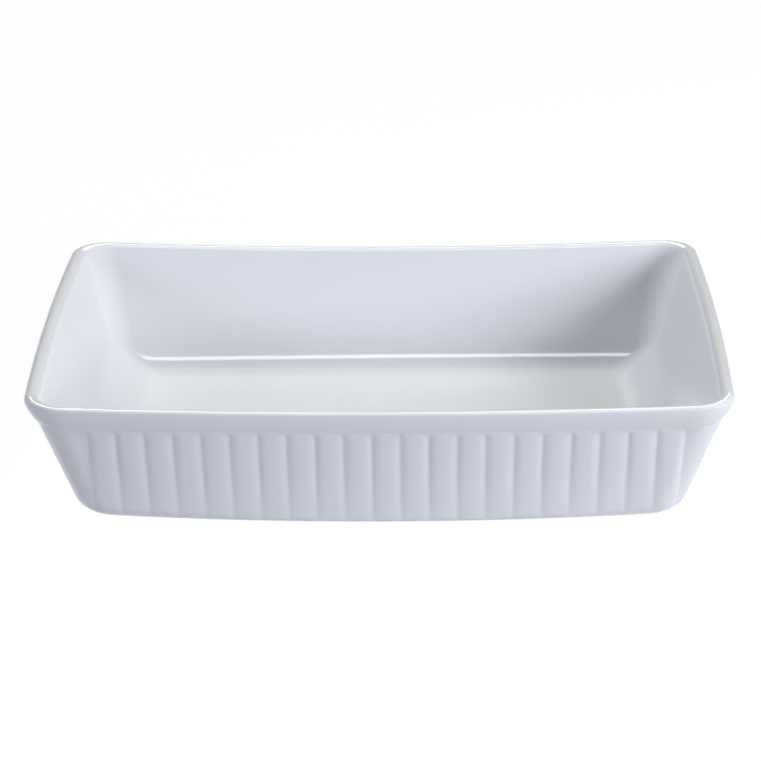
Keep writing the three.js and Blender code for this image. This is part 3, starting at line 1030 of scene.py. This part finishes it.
# The floor: its level just below the foot ring, its span, its glow, and how much of its colour shows shadow
FLOOR_LEVEL = -0.0002
FLOOR_SPAN = 8.0
FLOOR_GLOW = 0.96
FLOOR_SHADOW_SHARE = 0.25

# The shade where the floor meets the dish: how far it reaches, and its colour
CONTACT_REACH = 0.0022
CONTACT_COLOUR = (0.1, 0.1, 0.11, 1.0)


def seen_directly(shader):
    """1 for what the camera sees, straight or in a gloss or glass, and 0 for light that falls on things."""
    path = shader.node("ShaderNodeLightPath")
    return path.output("Is Camera Ray") + path.output("Is Glossy Ray") + path.output("Is Transmission Ray")


def studio_world():
    """Dark surroundings: all the light comes from the softboxes and from what they fall on."""
    world = bpy.data.worlds.new("studio")
    bpy.context.scene.world = world
    shader = Shader(world)
    dark = shader.node("ShaderNodeBackground", {}, {"Color": (0.0, 0.0, 0.0, 1.0), "Strength": 0.0})
    shader.node("ShaderNodeOutputWorld", {}, {"Surface": dark})


def floor_material(studio):
    """Pale floor: white to the eye, with the dish's shadow kept as a soft tone and a painted contact shadow
    in its glow.
    """
    material = new_material("studio_floor")
    shader = Shader(material)
    lit = shader.node("ShaderNodeBsdfDiffuse", {}, {"Color": opaque(studio.floor_colour)})
    dimmed = [value * FLOOR_SHADOW_SHARE for value in studio.floor_colour]
    shade = shader.node("ShaderNodeBsdfDiffuse", {}, {"Color": opaque(dimmed)})
    # Painted contact shadow: ambient occlusion darkens the floor's glow towards the contact colour where the
    # floor meets the dish
    open_share = shader.node("ShaderNodeAmbientOcclusion", {}, {"Distance": CONTACT_REACH}).output("AO")
    glow_with_painted_contact_shade = shader.blend(open_share, CONTACT_COLOUR, (1.0, 1.0, 1.0, 1.0))
    glow = shader.node("ShaderNodeEmission", {}, {"Color": glow_with_painted_contact_shade, "Strength": FLOOR_GLOW})
    eye = shader.node("ShaderNodeAddShader", {}, {0: shade, 1: glow})
    both = shader.node("ShaderNodeMixShader", {}, {0: seen_directly(shader), 1: lit, 2: eye})
    shader.node("ShaderNodeOutputMaterial", {}, {"Surface": both})
    return material


def add_softbox(name, place, face, bright, tint=(1.0, 1.0, 1.0), gloss=False, tilt=0):
    """An area light that stands at a place round the dish and faces it.

    One for gloss shows only in the glaze's reflections, and the others give light without showing there.
    A tilt lowers the light's right end, in degrees.
    """
    turn, lift = (math.radians(degrees) for degrees in place)
    width, height = face
    towards = Vector((math.sin(turn) * math.cos(lift), -math.cos(turn) * math.cos(lift), math.sin(lift)))
    aim = towards.to_track_quat('Z', 'Y') @ Quaternion((0.0, 0.0, 1.0), -math.radians(tilt))
    deselect_all()
    bpy.ops.object.light_add(type='AREA', location=LIGHT_TARGET + towards * LIGHT_DISTANCE,
                            rotation=aim.to_euler())
    softbox = bpy.context.object
    softbox.name = name
    softbox.visible_camera = False
    softbox.visible_diffuse = not gloss
    softbox.visible_glossy = gloss
    softbox.data.shape = 'RECTANGLE'
    softbox.data.size = width
    softbox.data.size_y = height
    softbox.data.energy = bright * math.pi * width * height
    softbox.data.color = tint
    return softbox


def light_dish_only(*softboxes):
    """Keeps softboxes off the floor, so that what it throws back stays even along the dish."""
    receivers = bpy.data.collections.new("lit_dish")
    for piece in PIECES:
        receivers.objects.link(bpy.data.objects[piece])
    for softbox in softboxes:
        softbox.light_linking.receiver_collection = receivers


def add_camera(studio):
    """The camera at the photograph's view."""
    yaw, pitch = studio.camera_yaw, studio.camera_pitch
    back = Vector((math.sin(yaw) * math.cos(pitch), -math.cos(yaw) * math.cos(pitch), math.sin(pitch)))
    right = Vector((0.0, 0.0, 1.0)).cross(back).normalized()
    up = back.cross(right)
    axes = Matrix((right, up, back)).transposed()
    place = Matrix.Translation(CAMERA_TARGET + back * studio.camera_distance)
    deselect_all()
    bpy.ops.object.camera_add()
    camera = bpy.context.object
    camera.name = "front_camera"
    camera.data.sensor_width = SENSOR_WIDTH
    camera.data.lens = studio.camera_lens
    camera.matrix_world = place @ axes.to_4x4() @ Matrix.Rotation(studio.camera_roll, 4, 'Z')
    bpy.context.scene.camera = camera


class DISH_OT_stage(bpy.types.Operator):
    """Sets up the studio: floor, soft lights, dark surroundings and camera"""

    bl_idname = "dish.stage"
    bl_label = "Studio"

    def execute(self, context):
        studio = context.scene.dish_studio
        deselect_all()
        bpy.ops.mesh.primitive_plane_add(size=FLOOR_SPAN, location=(0.0, 0.0, FLOOR_LEVEL))
        floor = context.object
        floor.name = "studio_floor"
        floor.data.materials.append(floor_material(studio))
        studio_world()
        add_softbox("key_softbox", KEY_PLACE, SOFTBOX_FACE, studio.key, studio.key_colour)
        add_softbox("side_softbox", SIDE_PLACE, SOFTBOX_FACE, studio.side, studio.side_colour)
        add_softbox("left_softbox", LEFT_PLACE, SOFTBOX_FACE, studio.left, studio.left_colour)
        end = add_softbox("end_softbox", END_PLACE, SOFTBOX_FACE, studio.end, studio.end_colour)
        top = add_softbox("top_softbox", TOP_PLACE, TOP_FACE, studio.top, studio.top_colour)
        rear = add_softbox("rear_softbox", REAR_PLACE, SOFTBOX_FACE, studio.rear)
        light_dish_only(end, top, rear)
        add_softbox("front_strip", FRONT_STRIP_PLACE, FRONT_STRIP_FACE, studio.front,
                    gloss=True, tilt=FRONT_STRIP_TILT)
        add_softbox("back_strip", BACK_STRIP_PLACE, BACK_STRIP_FACE, studio.back, gloss=True)
        add_camera(studio)
        context.scene.view_settings.view_transform = 'Standard'
        return {'FINISHED'}


class DISH_PT_panel(bpy.types.Panel):
    """Lists the dish's operators and settings"""

    bl_idname = "DISH_PT_panel"
    bl_label = "Baking dish"
    bl_space_type = 'VIEW_3D'
    bl_region_type = 'UI'
    bl_category = "Dish"

    def draw(self, context):
        column = self.layout.column()
        for operator in OPERATORS:
            column.operator(operator.bl_idname)
        for group in (context.scene.dish_sizes, context.scene.dish_finish, context.scene.dish_studio):
            box = self.layout.box()
            for setting in type(group).__annotations__:
                box.prop(group, setting)


OPERATORS = (DISH_OT_clay_body, DISH_OT_glaze_inside, DISH_OT_glaze_outside, DISH_OT_glaze_base,
             DISH_OT_stage)
CLASSES = (DishSizes, DishFinish, StudioSetup) + OPERATORS + (DISH_PT_panel,)


def register():
    """Makes the classes known and gives every scene its settings."""
    for known in CLASSES:
        bpy.utils.register_class(known)
    bpy.types.Scene.dish_sizes = PointerProperty(type=DishSizes)
    bpy.types.Scene.dish_finish = PointerProperty(type=DishFinish)
    bpy.types.Scene.dish_studio = PointerProperty(type=StudioSetup)


def unregister():
    """Takes the settings and classes away again."""
    del bpy.types.Scene.dish_studio
    del bpy.types.Scene.dish_finish
    del bpy.types.Scene.dish_sizes
    for known in reversed(CLASSES):
        bpy.utils.unregister_class(known)


def main():
    """Models the dish and its studio."""
    register()
    bpy.ops.dish.clay_body()
    bpy.ops.dish.glaze_inside()
    bpy.ops.dish.glaze_outside()
    bpy.ops.dish.glaze_base()
    bpy.ops.dish.stage()


if __name__ == "__main__":
    main()
